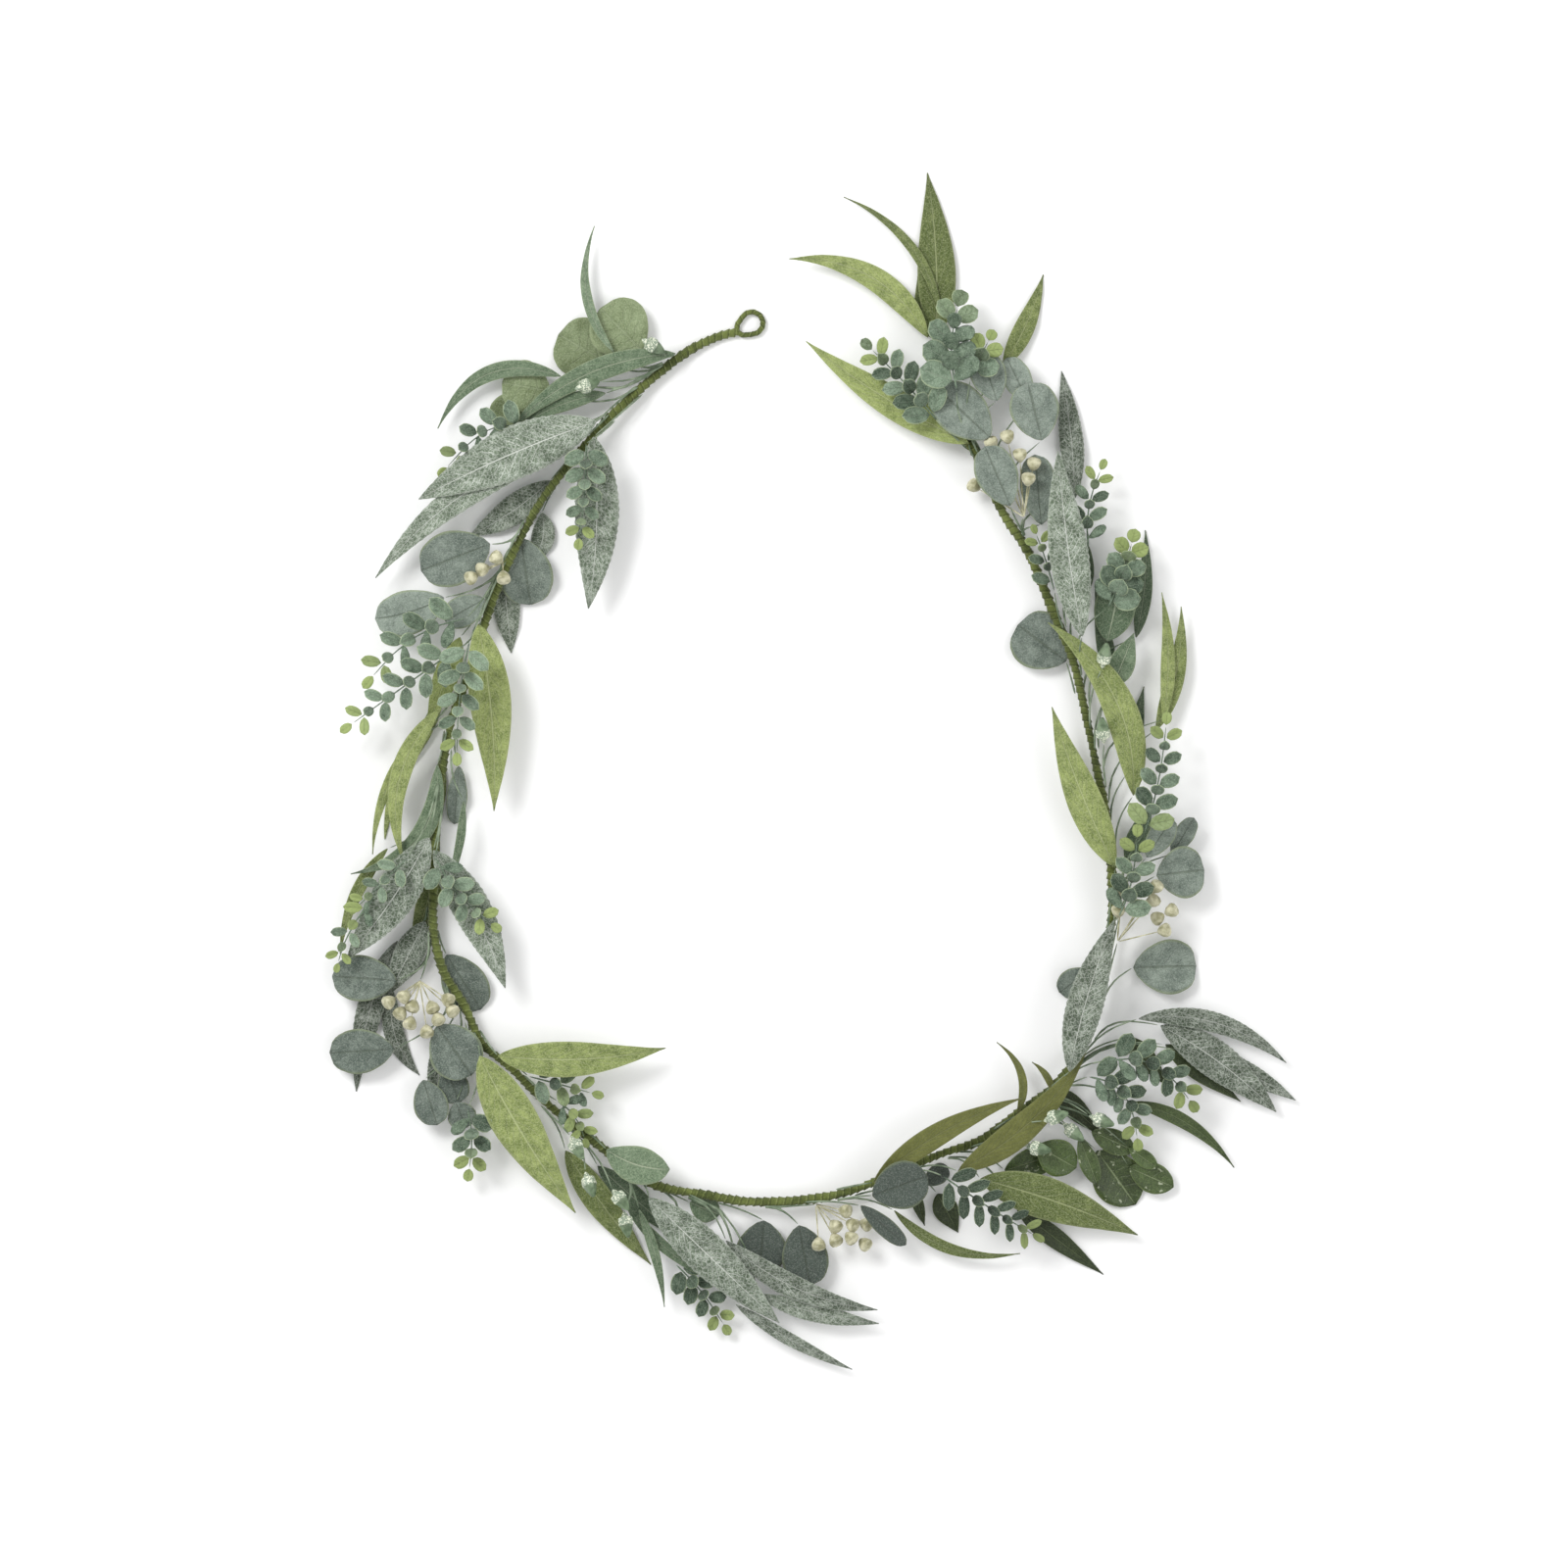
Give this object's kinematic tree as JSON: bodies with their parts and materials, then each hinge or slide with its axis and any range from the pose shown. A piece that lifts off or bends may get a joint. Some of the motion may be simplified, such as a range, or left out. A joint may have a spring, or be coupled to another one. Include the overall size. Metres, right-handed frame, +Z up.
{
  "type": "greenery garland",
  "caption": "Artificial eucalyptus and willow garland on a bendable taped wire stem, lying in an open loop, with a wire hanging loop at one end.",
  "frame": {"origin": "middle of the garland's box, on the plane that it lies on", "axes": "+Z up from that plane, +Y along the garland's longer side towards its open end, +X to the side of the free leafy end"},
  "size_m": [0.692, 0.856, 0.0688],
  "materials": {
    "stem_tape": "olive crepe paper tape wound tightly round the wire",
    "core_wire": "bare annealed steel wire, seen nowhere outside the tape",
    "willow_leaf": "printed polyester leaf fabric, dull, fine pressed veins",
    "mint_leaf": "printed polyester leaf fabric, pale mint face, dull",
    "mottled_leaf": "printed polyester leaf fabric, mottled yellow-green",
    "frosted_leaf": "grey-green leaf fabric with white flocked veins",
    "silver_dollar_leaf": "dusty blue-grey leaf fabric with a light green edge",
    "dark_leaf": "dark green coated leaf fabric, slightly glossy",
    "small_eucalyptus": "moulded blue-green soft plastic with pale edges and lime tips",
    "seed_capsule": "cream moulded plastic, dull",
    "bud": "pale moulded bud with fine glitter",
    "twig": "plastic coated wire, dull grey-green"
  },
  "bodies": {
    "loop_end": {"hanging_loop": "stem_tape", "core_wire_loop_end": "core_wire", "stem_tape_loop_end": "stem_tape"},
    "left_stem": {"core_wire_left": "core_wire", "stem_tape_left": "stem_tape", "mottled_round_leaves": "mottled_leaf", "mint_leaves_upper_left": "mint_leaf", "frosted_leaves_upper_left": "frosted_leaf", "glitter_buds_upper_left": "bud", "small_eucalyptus_upper_left": "small_eucalyptus", "silver_dollar_leaves_left": "silver_dollar_leaf", "cream_seeds_left": "seed_capsule", "willow_leaves_left": "willow_leaf", "mint_leaves_left": "mint_leaf", "frosted_leaves_left": "frosted_leaf", "small_eucalyptus_left": "small_eucalyptus", "twigs_left": "twig"},
    "lower_left_stem": {"core_wire_lower_left": "core_wire", "stem_tape_lower_left": "stem_tape", "frosted_leaves_lower_left": "frosted_leaf", "silver_dollar_leaves_lower_left": "silver_dollar_leaf", "cream_seeds_lower_left": "seed_capsule", "small_eucalyptus_lower_left": "small_eucalyptus", "willow_leaves_lower_left": "willow_leaf", "round_leaves_lower_left": "mint_leaf", "glitter_buds_lower_left": "bud", "small_eucalyptus_bottom_left": "small_eucalyptus", "mint_leaves_bottom_left": "mint_leaf", "frosted_leaves_bottom_left": "frosted_leaf", "twigs_lower_left": "twig"},
    "right_stem": {"core_wire_right": "core_wire", "stem_tape_right": "stem_tape", "silver_dollar_leaves_bottom": "silver_dollar_leaf", "cream_seeds_bottom": "seed_capsule", "willow_leaves_bottom_right": "willow_leaf", "dark_leaves_bottom_right": "dark_leaf", "glossy_leaves_bottom_right": "dark_leaf", "glitter_buds_bottom_right": "bud", "small_eucalyptus_bottom_right": "small_eucalyptus", "frosted_leaves_bottom_right": "frosted_leaf", "small_eucalyptus_lower_right": "small_eucalyptus", "silver_dollar_leaves_right": "silver_dollar_leaf", "cream_seeds_right": "seed_capsule", "small_eucalyptus_right": "small_eucalyptus", "willow_leaves_right": "willow_leaf", "glitter_buds_right": "bud", "mint_and_dark_leaves_right": "dark_leaf", "frosted_leaf_upper_right": "frosted_leaf", "small_eucalyptus_upper_right": "small_eucalyptus", "twigs_bottom_right": "twig", "twigs_right": "twig"},
    "top_stem": {"core_wire_top": "core_wire", "stem_tape_top": "stem_tape", "silver_dollar_leaves_top": "silver_dollar_leaf", "cream_seeds_top": "seed_capsule", "frosted_leaf_top": "frosted_leaf", "willow_leaves_top": "willow_leaf", "small_eucalyptus_top": "small_eucalyptus", "twigs_top": "twig"}
  },
  "joints": [
    {"name": "stem_bend_loop_end", "type": "hinge", "parent": "left_stem", "child": "loop_end", "pos_m": [-0.089, 0.3, 0.005], "axis": [0, 0, 1], "range_deg": [-20, 20]},
    {"name": "stem_bend_left", "type": "hinge", "parent": "lower_left_stem", "child": "left_stem", "pos_m": [-0.271, -0.087, 0.014], "axis": [0, 0, 1], "range_deg": [-4, 12]},
    {"name": "stem_bend_bottom", "type": "hinge", "parent": "right_stem", "child": "lower_left_stem", "pos_m": [-0.078, -0.303, 0.012], "axis": [0, 0, 1], "range_deg": [-4, 12]},
    {"name": "stem_bend_upper_right", "type": "hinge", "parent": "right_stem", "child": "top_stem", "pos_m": [0.154, 0.155, 0.014], "axis": [0, 0, 1], "range_deg": [-12, 4]}
  ]
}
